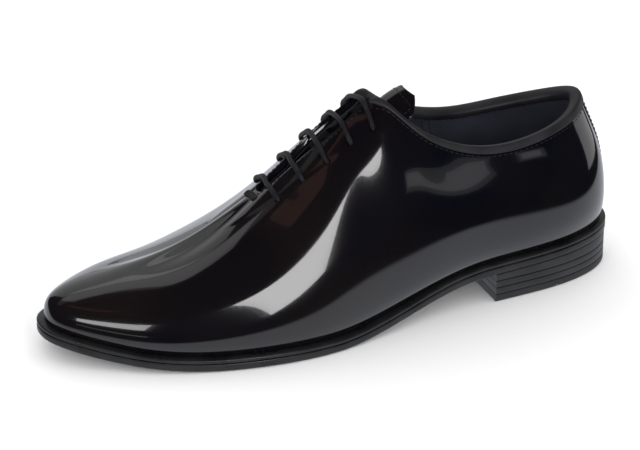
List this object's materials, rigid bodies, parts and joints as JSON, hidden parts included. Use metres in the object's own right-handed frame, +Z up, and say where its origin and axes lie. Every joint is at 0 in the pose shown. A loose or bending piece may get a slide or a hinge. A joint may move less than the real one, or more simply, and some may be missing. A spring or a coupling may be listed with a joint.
{
  "type": "oxford dress shoe",
  "caption": "Left patent leather oxford with closed lacing, a plain rounded toe, a welted sole and a low stacked heel; the sole bends at the ball of the foot.",
  "frame": {"origin": "middle of the overall box in plan, on the ground under the shoe", "axes": "+X towards the toe, +Y towards the outer side of this left shoe, +Z up"},
  "size_m": [0.3034, 0.1064, 0.1136],
  "materials": {
    "patent_leather": "black patent leather, mirror gloss with a faint orange peel",
    "calf_binding": "matte black calf with fine grain",
    "lining_leather": "matte dark navy lining leather",
    "stiffener_board": "matte impregnated canvas",
    "insole_board": "matte vegetable-tanned board",
    "cork": "matte granular cork",
    "steel": "plain rolled steel",
    "sole_leather": "black burnished edge, satin",
    "top_piece_rubber": "matte black rubber",
    "waxed_cord": "waxed black round braid, satin",
    "aglet_film": "black lace tip"
  },
  "bodies": {
    "rearfoot": {"upper_flex": "patent_leather", "upper_quarters": "patent_leather", "back_strip": "patent_leather", "throat_bar": "patent_leather", "topline_binding": "calf_binding", "lining_flex": "lining_leather", "lining_quarters": "lining_leather", "heel_sock": "lining_leather", "heel_counter": "stiffener_board", "facing_stay_outer": "stiffener_board", "facing_stay_inner": "stiffener_board", "insole_rear": "insole_board", "waist_filler": "cork", "shank": "steel", "heel_nail_1": "steel", "heel_nail_2": "steel", "heel_nail_3": "steel", "heel_nail_4": "steel", "heel_nail_5": "steel", "eyelet_outer_1": "steel", "eyelet_outer_2": "steel", "eyelet_outer_3": "steel", "eyelet_outer_4": "steel", "eyelet_outer_5": "steel", "eyelet_inner_1": "steel", "eyelet_inner_2": "steel", "eyelet_inner_3": "steel", "eyelet_inner_4": "steel", "eyelet_inner_5": "steel", "outsole_waist": "sole_leather", "welt_rear": "sole_leather", "heel_lift_1": "sole_leather", "heel_lift_2": "sole_leather", "heel_lift_3": "sole_leather", "top_piece": "top_piece_rubber", "lace": "waxed_cord", "aglet_1": "aglet_film", "aglet_2": "aglet_film"},
    "forefoot": {"outsole_forepart": "sole_leather", "welt_forepart": "sole_leather", "cork_filler": "cork", "insole_forepart": "insole_board", "upper_toe": "patent_leather", "lining_toe": "lining_leather", "toe_puff": "stiffener_board"},
    "tongue": {"tongue": "patent_leather", "tongue_lining": "lining_leather"}
  },
  "joints": [
    {"name": "ball_flex", "type": "hinge", "parent": "rearfoot", "child": "forefoot", "pos_m": [0.05265, 0, 0.0095], "axis": [0, -1, 0], "range_deg": [0, 25], "stiffness_Nm_per_rad": 1.5, "deforming": ["upper_flex", "lining_flex"]},
    {"name": "tongue_tilt", "type": "hinge", "parent": "rearfoot", "child": "tongue", "pos_m": [0.031, 0, 0.059], "axis": [0, -1, 0], "range_deg": [0, 12], "stiffness_Nm_per_rad": 0.08}
  ]
}
